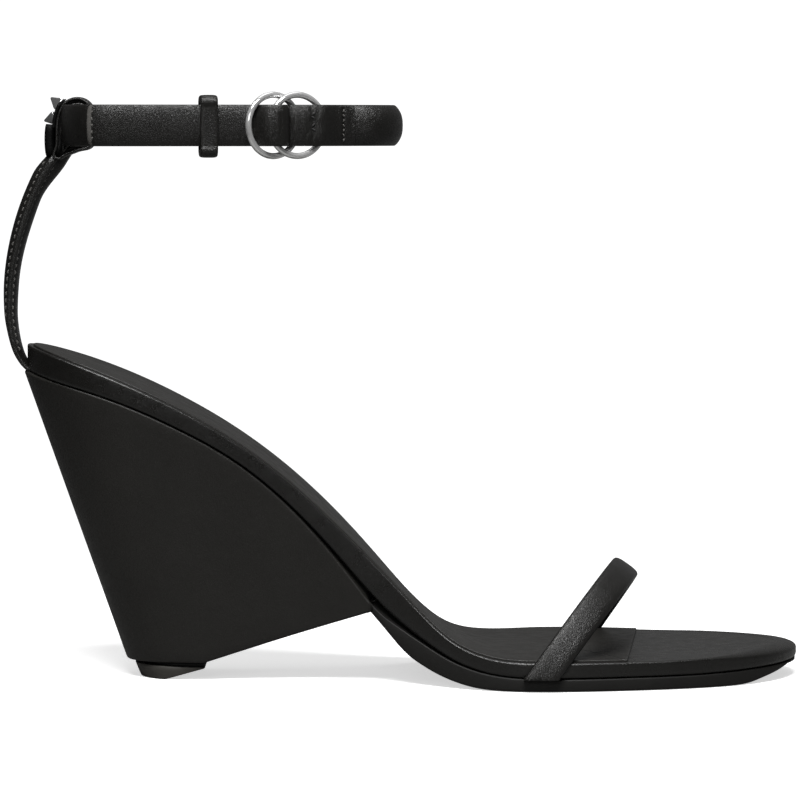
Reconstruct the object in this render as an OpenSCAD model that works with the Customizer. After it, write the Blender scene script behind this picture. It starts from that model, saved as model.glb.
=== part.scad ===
// High wedge sandal for the right foot, in millimetres. The origin is on the floor
// under the middle of the sandal, +X points at the toe, +Y to the inner (big-toe) side
// and +Z up. The rigid sole unit is stacked outsole, boards, footbed and sock lining;
// a padded heel strap carries the ankle strap, which closes through two rings.

/* [Sole] */
// thickness of the outsole under the ball
outsole_t = 4.0; // [3:0.1:6]
// width of the flat lift at the foot of the wedge, across the sandal
lift_w = 24; // [18:1:34]
// height of the lift
lift_h = 4.2; // [3:0.1:7]
// thickness of the plate between wedge and lift
lift_plate_t = 0.8; // [0.5:0.1:1.5]
// thickness of the leather wrapped round the wedge
wedge_cover_t = 1.0; // [0.6:0.1:1.6]
// thickness of the leather wrapped round the footbed
footbed_cover_t = 1.0; // [0.6:0.1:1.6]
// thickness of the hard board at the bottom of the footbed
board_t = 1.4; // [1:0.1:2]
// thickness of the sock lining
sock_t = 0.8; // [0.5:0.1:1.5]
// distance from the footbed's edge to the sock lining
sock_inset = 1.8; // [1:0.1:3]

/* [Toe strap] */
// width of the toe strap
toe_w = 8.4; // [6:0.1:14]
// thickness of the padded toe strap
toe_t = 3.0; // [2:0.1:4.5]
// radius of the toe strap's arch, at its outer face
toe_r = 42.2; // [38:0.1:46]
// forward lean of the toe strap
toe_lean = 35; // [15:1:45]
// turn of the toe strap: its inner end is further forward
toe_turn = 9; // [0:1:15]

/* [Heel strap] */
// width of the heel strap and its loop
heel_w = 11; // [9:0.5:15]
// thickness of each leather of the heel strap
heel_leather_t = 1.2; // [0.8:0.1:1.8]
// thickness of the stiffener between the two leathers
heel_core_t = 1.2; // [0.8:0.1:2]
// thickness of the loop's strip
loop_t = 1.6; // [1.2:0.1:2]
// side of a pyramid stud's square base
stud_side = 4; // [3:0.1:5]
// height of a pyramid stud
stud_h = 2.4; // [1.5:0.1:3]

/* [Ankle strap] */
// height of the ankle strap's band
strap_w = 11.8; // [9:0.1:15]
// thickness of one layer of the ankle strap
strap_t = 1.6; // [1.2:0.1:2.4]
// height of the ankle strap's middle above the floor
strap_z = 159.4; // [150:0.1:170]
// width of the keeper along the strap
keeper_w = 5.5; // [4:0.1:9]
// radius of a ring to the middle of its wire
ring_r = 8.7; // [8:0.1:10]
// radius of the ring wire
wire_r = 0.9; // [0.7:0.05:1.1]

/* [Hidden] */
$fn = 64;
big = 300;
gap = 0.3;

// ---- curves ----
// one point of a smooth curve through the list p, between its points i and i + 1
function smooth_at(p, i, t) =
    let(n = len(p), a = p[max(i - 1, 0)], b = p[i], c = p[min(i + 1, n - 1)], d = p[min(i + 2, n - 1)])
    0.5 * (2 * b + (c - a) * t + (2 * a - 5 * b + 4 * c - d) * t * t
        + (3 * b - a - 3 * c + d) * t * t * t);
function smooth(p, steps) =
    concat([for (i = [0 : len(p) - 2]) for (k = [0 : steps - 1]) smooth_at(p, i, k / steps)],
        [p[len(p) - 1]]);
// the same for a closed outline
function ring_at(p, i, t) =
    let(n = len(p), a = p[(i + n - 1) % n], b = p[i], c = p[(i + 1) % n], d = p[(i + 2) % n])
    0.5 * (2 * b + (c - a) * t + (2 * a - 5 * b + 4 * c - d) * t * t
        + (3 * b - a - 3 * c + d) * t * t * t);
function closed(p, steps) = [for (i = [0 : len(p) - 1]) for (k = [0 : steps - 1]) ring_at(p, i, k / steps)];
function back(p) = [for (i = [len(p) - 1 : -1 : 0]) p[i]];
function arc(c, r, a0, a1, n) = [for (i = [0 : n]) let(a = a0 + (a1 - a0) * i / n) c + r * [cos(a), sin(a)]];
// a closed outline moved inwards by d; the outline runs anticlockwise
function inset(p, d) =
    let(n = len(p))
    [for (i = [0 : n - 1]) let(v = p[(i + 1) % n] - p[(i + n - 1) % n]) p[i] + d * [-v[1], v[0]] / norm(v)];
// a height curve lowered by d, square to its slope
function lowered(p, d) =
    let(n = len(p))
    [for (i = [0 : n - 1])
        let(v = p[min(i + 1, n - 1)] - p[max(i - 1, 0)]) p[i] + d * [v[1], -v[0]] / norm(v)];

// ---- outline and heights of the sole unit ----
plan_points = [[-107.8, 0], [-105.4, -9.5], [-98, -17.5], [-82, -22.5], [-60, -22.5], [-36, -20.5],
    [-14, -20.5], [2, -24], [16, -31], [30, -36.8], [46, -38], [64, -35.5], [84, -29.5],
    [101, -20], [112.4, -7.5], [115.4, 3.5], [112.3, 15.5], [100, 27.5], [80, 35.5], [60, 39.8], [44, 40.6],
    [28, 37], [12, 29.5], [-4, 23.5], [-24, 20.5], [-50, 20.5], [-78, 22], [-97, 17.8],
    [-105.4, 9.5]];
plan_curve = closed(plan_points, 4);
// the wedge reaches a little further back than the footbed above it
wedge_back = 1.4;
wedge_back_from = -96;
wedge_curve = [for (q = plan_curve)
    q - [wedge_back * max(0, min(1, (wedge_back_from - q[0]) / 10)), 0]];
top_points = [[-125, 102.4], [-112, 98], [-96, 92.8], [-80, 86.8], [-64, 79.3], [-48, 70], [-32, 58],
    [-16, 43.2], [-4, 30.5], [6, 20.6], [16, 13], [26, 9.4], [40, 8.4], [64, 8.3], [88, 8.5],
    [104, 9.1], [125, 10.2]];
seam_points = [[-125, 93.6], [-112, 90], [-96, 85.8], [-80, 80.8], [-64, 73.8], [-48, 64.8], [-32, 51.8],
    [-16, 34.5], [-4, 21.4], [6, 13.6], [16, 8], [26, 5.2], [40, 4.1], [64, 4], [88, 4.2], [104, 4.7],
    [125, 5.6]];
top_curve = smooth(top_points, 3);
seam_curve = smooth(seam_points, 3);
// where the wedge's front edge meets the outsole, and where its underside starts
wedge_tip = [-7.2, 20.6];
wedge_foot_x = -56.4;
wedge_base_z = lift_h + lift_plate_t;
tread_points = [wedge_tip, [-4, 15], [0, 10.6], [6, 5.8], [12, 2.9], [18, 1.2], [25, 0.2], [32, 0]];
tread_curve = smooth(tread_points, 3);
// the tread turns up under the toes
toe_spring = [[96, 0], [100, 0.3], [104, 1.1], [108.7, 2.3], [113, 3.6], [125, 5]];

// a solid that is the outline p of X and Z, drawn right across the sandal
module across(p) {
    translate([0, big / 2, 0])
        rotate([90, 0, 0])
            linear_extrude(big)
                polygon(p);
}
// everything inside the sandal's outline, less an inset
module plan_prism(d, outline = plan_curve) {
    translate([0, 0, -10])
        linear_extrude(big)
            polygon(inset(outline, d));
}
// the layer between two height curves
module layer(upper, lower, d) {
    intersection() {
        across(concat(upper, back(lower)));
        plan_prism(d);
    }
}

// ---- wedge ----
// The wedge is round at the back and flat at the sides. Both are parts of one leaning
// cone: its point is far below the floor, and the flat sides touch the round back.
cone_lean = 13;
cone_side = 6.5;
cone_flare = 5.5;
cone_point = [-43.6, 0, -97];
module cone_space(d) {
    translate(cone_point)
        rotate([0, -cone_lean, 0])
            union() {
                cylinder(h = 240, r1 = 0.01, r2 = 240 * tan(cone_side) - d);
                intersection() {
                    rotate([0, -atan(tan(cone_side) * sin(cone_flare)), 0])
                        translate([0, -big, 0])
                            cube([big, 2 * big, big]);
                    flat_side(d);
                    mirror([0, 1, 0])
                        flat_side(d);
                }
            }
}
module flat_side(d) {
    rotate([0, 0, cone_flare])
        rotate([-cone_side, 0, 0])
            translate([-big, -2 * big - d, -big])
                cube([2 * big, 2 * big, 2 * big]);
}
// inside the leather the core stops short of the wedge's thin front edge
tip_seam_z = 24.2;
module wedge_shape(d) {
    front_x = wedge_tip[0] - 3 * d;
    underside = [[wedge_foot_x, wedge_base_z + d], [front_x, wedge_tip[1]]];
    intersection() {
        across(concat([for (q = seam_curve) if (q[0] < front_x) q],
            [[front_x, tip_seam_z]],
            back(underside),
            [[-125, wedge_base_z + d]]));
        plan_prism(gap + d, wedge_curve);
        cone_space(d);
    }
}
module wedge_core() {
    color([0.16, 0.15, 0.14])
        difference() {
            wedge_shape(wedge_cover_t);
            wedge_holes();
            anchor_slot(gap);
        }
}
module wedge_cover() {
    color([0.05, 0.05, 0.055])
        difference() {
            wedge_shape(0);
            wedge_shape(wedge_cover_t);
            wedge_holes();
            anchor_slot(gap);
        }
}

// ---- lift at the foot of the wedge ----
lift_x = [-77.6, -75.4, -67.8, -56.4];
lift_front_rise = 3.1;
plate_back_x = -74.8;
module lift_plan(h) {
    r = lift_w / 2;
    translate([lift_x[0] + r, 0, 0])
        linear_extrude(h)
            union() {
                circle(r);
                translate([0, -r])
                    square([lift_x[3] - lift_x[0] - r, 2 * r]);
            }
}
module top_lift() {
    color([0.07, 0.07, 0.07])
        difference() {
            intersection() {
                lift_plan(lift_h);
                across([[lift_x[0], lift_h], [lift_x[1], 0], [lift_x[2], 0], [lift_x[3], lift_front_rise],
                    [lift_x[3], lift_h]]);
            }
            lift_pins_at(0);
        }
}
module lift_plate() {
    color([0.02, 0.02, 0.02])
        difference() {
            translate([0, 0, lift_h])
                intersection() {
                    lift_plan(lift_plate_t);
                    translate([plate_back_x, -big / 2, -lift_h])
                        cube([wedge_foot_x - plate_back_x, big, big]);
                }
            lift_pins_at(0);
        }
}
pin_x = [-71.5, -61.5];
pin_z = 1.6;
pin_len = 16;
pin_r = 1.4;
module lift_pins_at(d) {
    for (x = pin_x)
        translate([x, 0, pin_z])
            cylinder(h = pin_len, r = pin_r + d);
}
module lift_pins() {
    color([0.6, 0.6, 0.62])
        lift_pins_at(0);
}

// ---- screws that hold the wedge to the footbed ----
screw_x = [-88, -66];
screw_foot_z = [62.4, 53.4];
screw_len = 22;
screw_r = 1.8;
screw_head_r = 3.6;
screw_head_h = 1.6;
module screws_at(d) {
    for (i = [0, 1])
        translate([screw_x[i], 0, screw_foot_z[i]]) {
            cylinder(h = screw_len, r = screw_r + d);
            translate([0, 0, screw_len])
                cylinder(h = screw_head_h, r = screw_head_r + d);
        }
}
module wedge_screws() {
    color([0.62, 0.62, 0.65])
        screws_at(0);
}
module wedge_holes() {
    screws_at(0);
    lift_pins_at(0);
}

// ---- outsole, board and footbed ----
module outsole() {
    floor_line = concat(tread_curve, toe_spring);
    color([0.045, 0.045, 0.047])
        intersection() {
            across(concat([[wedge_tip[0], tip_seam_z]],
                [for (q = seam_curve) if (q[0] > wedge_tip[0]) q],
                back(floor_line)));
            plan_prism(0.4);
        }
}
module footbed_space(d) {
    layer(lowered(top_curve, d), lowered(seam_curve, -0.001), d);
}
module footbed_cover() {
    color([0.05, 0.05, 0.055])
        difference() {
            footbed_space(0);
            footbed_space(footbed_cover_t);
            tab_slots();
            anchor_slot(gap);
            screws_at(0);
        }
}
module board_space() {
    layer(lowered(seam_curve, -board_t - 0.1), lowered(seam_curve, -0.1), 4);
}
module insole_board() {
    color([0.45, 0.36, 0.26])
        difference() {
            board_space();
            tab_slots();
            anchor_slot(gap);
            screws_at(0);
            rivets_at(0);
        }
}
module footbed_foam() {
    color([0.3, 0.3, 0.32])
        difference() {
            footbed_space(footbed_cover_t);
            board_space();
            shank_space();
            rivets_at(0);
            screws_at(0);
            tab_slots();
            anchor_slot(gap);
        }
}
module sock_lining() {
    upper = lowered(top_curve, -sock_t);
    color([0.06, 0.06, 0.065])
        difference() {
            intersection() {
                across(concat(upper, back(top_curve)));
                plan_prism(sock_inset);
                sock_front();
            }
            tab_slots();
        }
}
// the sock lining ends in a straight edge across the ball, where the toes begin
sock_front_x = 67.5;
sock_front_turn = 5.5;
module sock_front() {
    translate([sock_front_x, 0, 0])
        rotate([0, 0, -sock_front_turn])
            translate([-big, -big / 2, 0])
                cube([big, big, big]);
}

// ---- steel shank along the waist, riveted to the board ----
shank_w = 12;
shank_t = 1.2;
shank_x = -58;
shank_len = 74;
module shank_space() {
    intersection() {
        layer(lowered(seam_curve, -board_t - shank_t - 0.15), lowered(seam_curve, -board_t - 0.15), 4);
        translate([shank_x, -shank_w / 2, 0])
            cube([shank_len, shank_w, big]);
    }
}
rivet_x = [-54, 12];
rivet_z = [67.3, 8.9];
rivet_tilt = [31, 32];
rivet_start = 1.5;
rivet_len = 2.5;
rivet_r = 1.6;
module rivets_at(d) {
    for (i = [0, 1])
        translate([rivet_x[i], 0, rivet_z[i]])
            rotate([0, rivet_tilt[i], 0])
                translate([0, 0, rivet_start])
                    cylinder(h = rivet_len, r = rivet_r + d);
}
module shank() {
    color([0.55, 0.56, 0.58])
        difference() {
            shank_space();
            rivets_at(0);
        }
}
module shank_rivets() {
    color([0.7, 0.7, 0.72])
        rivets_at(0);
}

// ---- toe strap ----
toe_at = [46.5, 0.8, 4.4];
toe_drop = 8.2;
module toe_arch(r_out, r_in, w) {
    difference() {
        translate(toe_at)
            rotate([0, 0, -toe_turn])
                rotate([0, toe_lean, 0])
                    translate([0, 0, -toe_drop])
                        rotate([90, 0, 90])
                            linear_extrude(w, center = true)
                                difference() {
                                    circle(r_out, $fn = 128);
                                    circle(r_in, $fn = 128);
                                }
        translate([-big / 2, -big / 2, toe_at[2] - big])
            cube([big, big, big]);
    }
}
module toe_strap_cover() {
    color([0.05, 0.05, 0.055])
        difference() {
            toe_arch(toe_r, toe_r - toe_t, toe_w);
            toe_strap_space();
        }
}
toe_skin = 0.8;
module toe_strap_space() {
    toe_arch(toe_r - toe_skin, toe_r - toe_t + toe_skin, toe_w - 2 * toe_skin);
}
module toe_strap_padding() {
    color([0.5, 0.5, 0.52])
        toe_strap_space();
}
// the strap's ends, glued flat between footbed and outsole
tab_len = 11;
tab_t = 1;
tab_outer = [40.3, -36.9];
tab_inner = [52.6, 38.4];
slot_gap = 0.2;
module toe_tab(at, y) {
    translate([at[0], at[1], toe_at[2]])
        rotate([0, 0, -toe_turn])
            translate([-toe_w / 2, y, 0])
                cube([toe_w, tab_len, tab_t]);
}
module toe_strap_tabs() {
    color([0.05, 0.05, 0.055])
        difference() {
            union() {
                toe_tab(tab_outer, 0);
                toe_tab(tab_inner, -tab_len);
            }
            toe_arch(toe_r + 0.02, toe_r - toe_t - 0.02, toe_w + 0.04);
        }
}
module tab_slots() {
    toe_tab(tab_outer, 0);
    toe_tab(tab_inner, -tab_len);
    toe_arch(toe_r + slot_gap, toe_r - toe_t - slot_gap, toe_w + 2 * slot_gap);
}

// ---- heel strap ----
// its side view is two arcs that share a point
heel_mid_z = 108;
heel_upper_r = 82.2;
heel_lower_r = 53;
heel_x = -112.6;
heel_t = 2 * heel_leather_t + heel_core_t;
heel_top_angle = 30.2;
heel_bend_angle = 11.2;
heel_foot_angle = 20.8;
heel_bend_gap = 0.8;
function heel_line(d) =
    concat(arc([heel_x + heel_upper_r, heel_mid_z], heel_upper_r + d, 180 - heel_top_angle, 180, 14),
        arc([heel_x + heel_lower_r, heel_mid_z], heel_lower_r + d, 180, 180 + heel_bend_angle, 4));
module heel_layer(d0, d1) {
    translate([0, heel_w / 2, 0])
        rotate([90, 0, 0])
            linear_extrude(heel_w)
                polygon(concat(heel_line(d0), back(heel_line(d1))));
}
module heel_strap_outer() {
    color([0.05, 0.05, 0.055])
        heel_layer(heel_core_t / 2, heel_core_t / 2 + heel_leather_t);
}
module heel_strap_core() {
    color([0.35, 0.3, 0.25])
        heel_layer(-heel_core_t / 2, heel_core_t / 2);
}
module heel_strap_lining() {
    color([0.07, 0.07, 0.075])
        heel_layer(-heel_core_t / 2 - heel_leather_t, -heel_core_t / 2);
}
// the foot of the strap lies in a recess at the back of the footbed and turns in under it
function foot_line(d) =
    arc([heel_x + heel_lower_r, heel_mid_z], heel_lower_r + d, 180 + heel_bend_angle + heel_bend_gap,
        180 + heel_foot_angle, 4);
tongue_len = 16;
tongue_t = 1.8;
tongue_at = [-110.4, 88.6];
tongue_turn = -19;
module anchor_slot(d) {
    side_view = concat(foot_line(heel_t / 2 + d), back(foot_line(-heel_t / 2 - d)));
    translate([0, heel_w / 2 + d, 0])
        rotate([90, 0, 0])
            linear_extrude(heel_w + 2 * d)
                union() {
                    polygon(side_view);
                    translate(tongue_at)
                        rotate(tongue_turn)
                            translate([0, -d])
                                square([tongue_len + d, tongue_t + 2 * d]);
                }
}
module heel_strap_anchor() {
    color([0.05, 0.05, 0.055])
        anchor_slot(0);
}

// ---- loop at the top of the heel strap, its tab and the two studs ----
loop_x = [-99.9, -88.6];
loop_z = [151.2, 167.8];
loop_r = 5;
loop_in_r = 1.2;
module rounded(x, z, r) {
    union() {
        translate([x[0] + r, z[0]])
            square([x[1] - x[0] - 2 * r, z[1] - z[0]]);
        translate([x[0], z[0] + r])
            square([x[1] - x[0], z[1] - z[0] - 2 * r]);
        for (p = [[x[0] + r, z[0] + r], [x[1] - r, z[0] + r], [x[0] + r, z[1] - r], [x[1] - r, z[1] - r]])
            translate(p)
                circle(r);
    }
}
module heel_loop() {
    color([0.05, 0.05, 0.055])
        difference() {
            translate([0, heel_w / 2, 0])
                rotate([90, 0, 0])
                    linear_extrude(heel_w)
                        difference() {
                            rounded(loop_x, loop_z, loop_r);
                            rounded(loop_x + [loop_t, -loop_t], loop_z + [loop_t, -loop_t], loop_in_r);
                        }
            stud_at(0)
                stud_pin();
            stud_at(1)
                stud_pin();
        }
}
tab_z = 150.9;
tab_deep = 2.45;
tab_high = 7.6;
module heel_tab() {
    color([0.03, 0.03, 0.032])
        translate([loop_x[0] - tab_deep - 0.05, -heel_w / 2, tab_z])
            cube([tab_deep, heel_w, tab_high]);
}
stud_turn = [-90, -45];
stud_z = 161;
stud_pos = [[loop_x[0], 0, stud_z], [loop_x[0] + loop_r * (1 - cos(45)), 0, loop_z[1] - loop_r * (1 - sin(45))]];
module stud_at(i) {
    translate(stud_pos[i])
        rotate([0, stud_turn[i], 0])
            children();
}
stud_pin_r = 0.6;
stud_pin_len = loop_t - 0.7;
module stud_pin() {
    translate([0, 0, -stud_pin_len])
        cylinder(h = stud_pin_len + 0.2, r = stud_pin_r);
}
// a square pyramid is where two ridges cross
module ridge() {
    rotate([90, 0, 0])
        linear_extrude(stud_side, center = true)
            polygon([[-stud_side / 2, 0], [stud_side / 2, 0], [0, stud_h]]);
}
module stud() {
    union() {
        translate([0, 0, 0.05])
            intersection() {
                ridge();
                rotate([0, 0, 90])
                    ridge();
            }
        stud_pin();
    }
}
module stud_lower() {
    color([0.8, 0.8, 0.82])
        stud_at(0)
            stud();
}
module stud_upper() {
    color([0.8, 0.8, 0.82])
        stud_at(1)
            stud();
}

// ---- ankle strap ----
// seen from above the strap is a closed loop of arcs and straight lines; on the outer
// side its two ends meet at the rings, and the front end lies further in
side_turn = 9;
rear_r = 12;
rear_c = [-82, 12];
back_r = 34;
back_angle = asin(rear_c[1] / (back_r - rear_r));
back_c = [rear_c[0] + (back_r - rear_r) * cos(back_angle), 0];
front_r = 13;
front_x = -12.5;
front_step = 5.4;
along = [cos(side_turn), sin(side_turn)];
outward = [sin(side_turn), -cos(side_turn)];
side_start = [rear_c[0], -rear_c[1]] + rear_r * outward;
front_y = (front_x * outward[0] + front_r + front_step - side_start * outward) / cos(side_turn);
front_c = [front_x, front_y];
far_dir = front_c - rear_c;
far_angle = atan2(far_dir[1], far_dir[0]) + acos((rear_r - front_r) / norm(far_dir));
// u runs along the outer side towards the toe, v away from the foot
function side(u, v) = side_start + u * along + v * outward;
ring_u = 52.3;
fold_l = [ring_u - 6.4, 1.65];
fold_r = [ring_u - 1.9, -3.55];
fold_r_in = 1.85;
tail_v = gap;
function strap_line(d) =
    concat(arc(side(fold_l[0], fold_l[1]), fold_l[1] - d, side_turn - 90, side_turn + 90, 10),
        arc([rear_c[0], -rear_c[1]], rear_r + d, -90 + side_turn, -180 + back_angle, 10),
        arc(back_c, back_r + d, 180 + back_angle, 180 - back_angle, 10),
        arc(rear_c, rear_r + d, 180 - back_angle, far_angle, 10),
        arc(front_c, front_r + d, far_angle, -90 + side_turn, 20),
        arc(side(fold_r[0], fold_r[1]), fold_r_in - d, side_turn + 90, side_turn + 270, 10));
module band() {
    translate([0, 0, strap_z - strap_w / 2])
        linear_extrude(strap_w)
            children();
}
module ankle_strap() {
    color([0.05, 0.05, 0.055])
        band()
            polygon(concat(strap_line(0), back(strap_line(-strap_t))));
}
tail_end_angle = 242;
tail_down_u = [ring_u - 12.6, ring_u - 10.2];
module strap_tail() {
    high = 2 * fold_l[1];
    color([0.055, 0.055, 0.06])
        band()
            polygon(concat([side(fold_l[0] - 0.02, high + strap_t), side(tail_down_u[1], high + strap_t),
                side(tail_down_u[0] + 0.6, tail_v + strap_t)],
                arc([rear_c[0], -rear_c[1]], rear_r + tail_v + strap_t, 270 + side_turn, tail_end_angle, 10),
                arc([rear_c[0], -rear_c[1]], rear_r + tail_v, tail_end_angle, 270 + side_turn, 10),
                [side(tail_down_u[0], tail_v), side(tail_down_u[1] - 0.6, high), side(fold_l[0] - 0.02, high)]));
}
// the front end of the strap, turned back over both rings and sewn down behind them:
// the height of its inner face, first over one ring, then over the other, then on the strap
flap_low = -front_step + 0.02;
flap_line = smooth([[fold_r[0] + 0.02, fold_r[1] + fold_r_in], [ring_u + 2, -1.85], [ring_u + 5, -2.05],
    [ring_u + 7.4, -2.7], [ring_u + 9.2, -3.75], [ring_u + 11.2, -4.85], [ring_u + 13.6, flap_low]], 4);
flap_end_u = 69;
module ring_flap() {
    line = concat(flap_line, [[flap_end_u, flap_low]]);
    color([0.05, 0.05, 0.055])
        band()
            polygon(concat([for (q = line) side(q[0], q[1])],
                back([for (q = lowered(line, -strap_t)) side(q[0], q[1])])));
}
keeper_u = 23.6;
keeper_wall = 1.3;
keeper_h = 17.2;
keeper_play = 0.7;
module keeper() {
    low = -strap_t - gap;
    high = tail_v + strap_t + gap;
    color([0.055, 0.055, 0.06])
        translate([side_start[0], side_start[1], strap_z])
            rotate([0, 0, side_turn])
                translate([keeper_u, 0, 0])
                    rotate([90, 0, 90])
                        linear_extrude(keeper_w)
                            difference() {
                                translate([-high - keeper_wall, -keeper_h / 2])
                                    square([high - low + 2 * keeper_wall, keeper_h]);
                                translate([-high, -strap_w / 2 - keeper_play])
                                    square([high - low, strap_w + 2 * keeper_play]);
                            }
}
// each ring stands across the strap: one edge in the flap, the other by the tail
ring_tilt = [29, 21];
ring_edge = [[ring_u, -4.2], [ring_u + 7.5, -4.2]];
module ring(i) {
    centre = ring_edge[i] + ring_r * [-cos(ring_tilt[i]), sin(ring_tilt[i])];
    at = side(centre[0], centre[1]);
    translate([at[0], at[1], strap_z])
        rotate([90, 0, side_turn + ring_tilt[i]])
            rotate_extrude()
                translate([ring_r, 0])
                    circle(wire_r, $fn = 32);
}
module ring_outer() {
    color([0.86, 0.87, 0.88])
        ring(0);
}
module ring_inner() {
    color([0.86, 0.87, 0.88])
        ring(1);
}

outsole();
wedge_core();
wedge_cover();
lift_plate();
top_lift();
lift_pins();
wedge_screws();
insole_board();
shank();
shank_rivets();
footbed_foam();
footbed_cover();
sock_lining();
toe_strap_cover();
toe_strap_padding();
toe_strap_tabs();
heel_strap_anchor();
heel_strap_outer();
heel_strap_core();
heel_strap_lining();
heel_loop();
heel_tab();
stud_upper();
stud_lower();
ankle_strap();
strap_tail();
ring_flap();
keeper();
ring_outer();
ring_inner();
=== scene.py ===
import math

import bmesh
import bpy
import numpy as np
from mathutils import Matrix, Vector


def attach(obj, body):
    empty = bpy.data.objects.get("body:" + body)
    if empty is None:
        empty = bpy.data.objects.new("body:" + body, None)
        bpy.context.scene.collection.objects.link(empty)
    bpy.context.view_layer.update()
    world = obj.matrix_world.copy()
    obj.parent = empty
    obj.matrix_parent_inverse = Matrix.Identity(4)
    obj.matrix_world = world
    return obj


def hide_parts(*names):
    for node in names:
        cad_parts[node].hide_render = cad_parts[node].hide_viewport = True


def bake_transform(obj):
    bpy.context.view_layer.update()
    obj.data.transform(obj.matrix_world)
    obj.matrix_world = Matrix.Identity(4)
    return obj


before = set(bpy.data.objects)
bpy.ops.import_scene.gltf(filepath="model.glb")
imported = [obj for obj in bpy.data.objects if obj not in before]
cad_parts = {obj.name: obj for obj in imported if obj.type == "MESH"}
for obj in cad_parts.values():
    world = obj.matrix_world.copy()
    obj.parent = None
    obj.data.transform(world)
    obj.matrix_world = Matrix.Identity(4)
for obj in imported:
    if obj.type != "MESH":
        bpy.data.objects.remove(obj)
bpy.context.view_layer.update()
MM = 0.001
MERGE = 1e-4  # mm between vertices that become one


# ------------------------------------------------------------------ curves
def spline(points, closed=False):
    """A smooth curve through the points, as a function of a list of parameters from 0 to 1."""
    p = np.array(points, float)
    if closed:
        p = np.vstack([p, p[:1]])
    h = np.linalg.norm(np.diff(p, axis=0), axis=1)
    t = np.concatenate([[0], np.cumsum(h)])
    n = len(p)
    a, b = np.zeros((n, n)), np.zeros((n, p.shape[1]))
    for i in range(1, n - 1):
        a[i, i - 1 : i + 2] = h[i - 1], 2 * (h[i - 1] + h[i]), h[i]
        b[i] = 6 * ((p[i + 1] - p[i]) / h[i] - (p[i] - p[i - 1]) / h[i - 1])
    if closed:
        a[0, 0], a[0, n - 1] = 1, -1
        a[-1, 0], a[-1, 1] = 2 * h[0], h[0]
        a[-1, n - 1], a[-1, n - 2] = 2 * h[-1], h[-1]
        b[-1] = 6 * ((p[1] - p[0]) / h[0] - (p[-1] - p[-2]) / h[-1])
    else:
        a[0, 0] = a[-1, -1] = 1
    m = np.linalg.solve(a, b)

    def at(u):
        s = np.clip(np.asarray(u, float), 0, 1) * t[-1]
        i = np.clip(np.searchsorted(t, s, side="right") - 1, 0, n - 2)
        d, e, k = s - t[i], t[i + 1] - s, h[i]
        d, e, k = d[:, None], e[:, None], k[:, None]
        return (
            m[i] * e**3 / (6 * k) + m[i + 1] * d**3 / (6 * k)
            + (p[i] / k - m[i] * k / 6) * e + (p[i + 1] / k - m[i + 1] * k / 6) * d
        )

    return at


def even(points, count, closed=False):
    """The same curve as count points at even distances."""
    p = np.array(points, float)
    if closed:
        p = np.vstack([p, p[:1]])
    t = np.concatenate([[0], np.cumsum(np.linalg.norm(np.diff(p, axis=0), axis=1))])
    s = np.linspace(0, t[-1], count + 1 if closed else count)
    out = np.stack([np.interp(s, t, p[:, k]) for k in range(p.shape[1])], 1)
    return out[:-1] if closed else out


def height(points):
    """A smooth height over X, through the points."""
    p = spline(points)(np.linspace(0, 1, 1200))
    return lambda x: np.interp(x, p[:, 0], p[:, 1])


def arc(c, r, a0, a1, n):
    a = np.radians(np.linspace(a0, a1, n + 1))
    return np.stack([c[0] + r * np.cos(a), c[1] + r * np.sin(a)], 1)


def loop_of(points, count):
    """A closed smooth curve through the points."""
    return spline(points, True)(np.linspace(0, 1, count)[:-1])


def turns(count):
    """Even angles round a circle."""
    return np.linspace(0, 2 * math.pi, count + 1)[:-1]


def unit(rows):
    return rows / np.linalg.norm(rows, axis=1)[:, None]


def upright(p):
    """Points drawn in X and Z, as points of the sandal's middle plane."""
    return np.column_stack([p[:, 0], np.zeros(len(p)), p[:, 1]])


def across(count):
    """The direction across the sandal, once for each point of a path."""
    return np.tile((0.0, 1.0, 0.0), (count, 1))


def ramp(x, a, b):
    """A smooth step from 0 at a to 1 at b."""
    t = np.clip((np.asarray(x, float) - a) / (b - a), 0, 1)
    return t * t * (3 - 2 * t)


# ------------------------------------------------------------------ meshes, all drawn in millimetres
def make(name, verts, faces, material, smooth=True):
    mesh = bpy.data.meshes.new(name)
    mesh.from_pydata([tuple(v) for v in np.asarray(verts, float) * MM], [], faces)
    bm = bmesh.new()
    bm.from_mesh(mesh)
    bmesh.ops.remove_doubles(bm, verts=bm.verts, dist=MERGE * MM)
    bmesh.ops.dissolve_degenerate(bm, edges=bm.edges, dist=1e-8)
    bmesh.ops.recalc_face_normals(bm, faces=bm.faces)
    bm.to_mesh(mesh)
    bm.free()
    for f in mesh.polygons:
        f.use_smooth = smooth
    mesh.materials.append(material)
    obj = bpy.data.objects.new(name, mesh)
    bpy.context.scene.collection.objects.link(obj)
    return obj


def tube(rings, close_path=False, caps=True):
    """Vertices and faces of a surface through closed rings of equal length."""
    n, m = len(rings), len(rings[0])
    verts = np.concatenate(rings)
    faces = []
    for i in range(n if close_path else n - 1):
        for j in range(m):
            a, b = i * m, ((i + 1) % n) * m
            k = (j + 1) % m
            faces.append((a + j, a + k, b + k, b + j))
    if caps and not close_path:
        faces.append(tuple(range(m)))
        faces.append(tuple((n - 1) * m + j for j in range(m)))
    return verts, faces


def joined(name, parts, material):
    verts, faces, base = [], [], 0
    for v, f in parts:
        verts.append(np.asarray(v))
        faces += [tuple(i + base for i in q) for q in f]
        base += len(v)
    return make(name, np.concatenate(verts), faces, material)


def shell(name, rings, closing, material):
    """A closed piece: its rings, and the rings that close the first of them."""
    return joined(name, [tube(rings, caps=False), tube([rings[0]] + closing, caps=False)], material)


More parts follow.
